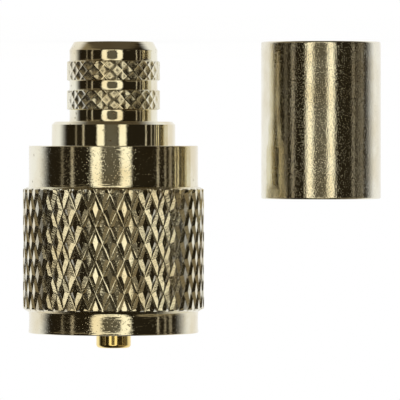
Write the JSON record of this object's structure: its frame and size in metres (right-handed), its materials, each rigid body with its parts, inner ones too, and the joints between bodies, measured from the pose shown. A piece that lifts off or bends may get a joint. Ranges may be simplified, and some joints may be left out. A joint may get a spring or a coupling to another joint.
{
  "type": "uhf coaxial plug",
  "caption": "Crimp-type UHF coaxial plug with a diamond-knurled coupling nut, gold-plated centre pin and a separate crimp ferrule standing beside it.",
  "frame": {"origin": "on the plug's axis, at the cable end of the crimp stem, which it stands on", "axes": "+Z along the plug's axis to the mating end, -X from the plug to the crimp ferrule that stands beside it"},
  "size_m": [0.0361, 0.0182, 0.0309],
  "materials": {
    "nickel": "bright nickel plate on brass",
    "gold": "gold plate on brass",
    "insulator": "white insulator, satin",
    "spring_bronze": "spring bronze"
  },
  "bodies": {
    "plug": {"plug_body": "nickel", "rear_insulator": "insulator", "front_insulator": "insulator", "centre_contact": "gold", "crimp_ferrule": "nickel"},
    "ring": {"retaining_ring": "spring_bronze"},
    "nut": {"coupling_nut": "nickel"}
  },
  "joints": [
    {"name": "nut_float", "type": "slide", "parent": "plug", "child": "ring", "axis": [0, 0, 1], "range_m": [0, 0.0014]},
    {"name": "nut_turn", "type": "hinge", "parent": "ring", "child": "nut", "pos_m": [0, 0, 0.012], "axis": [0, 0, 1], "continuous": true}
  ]
}
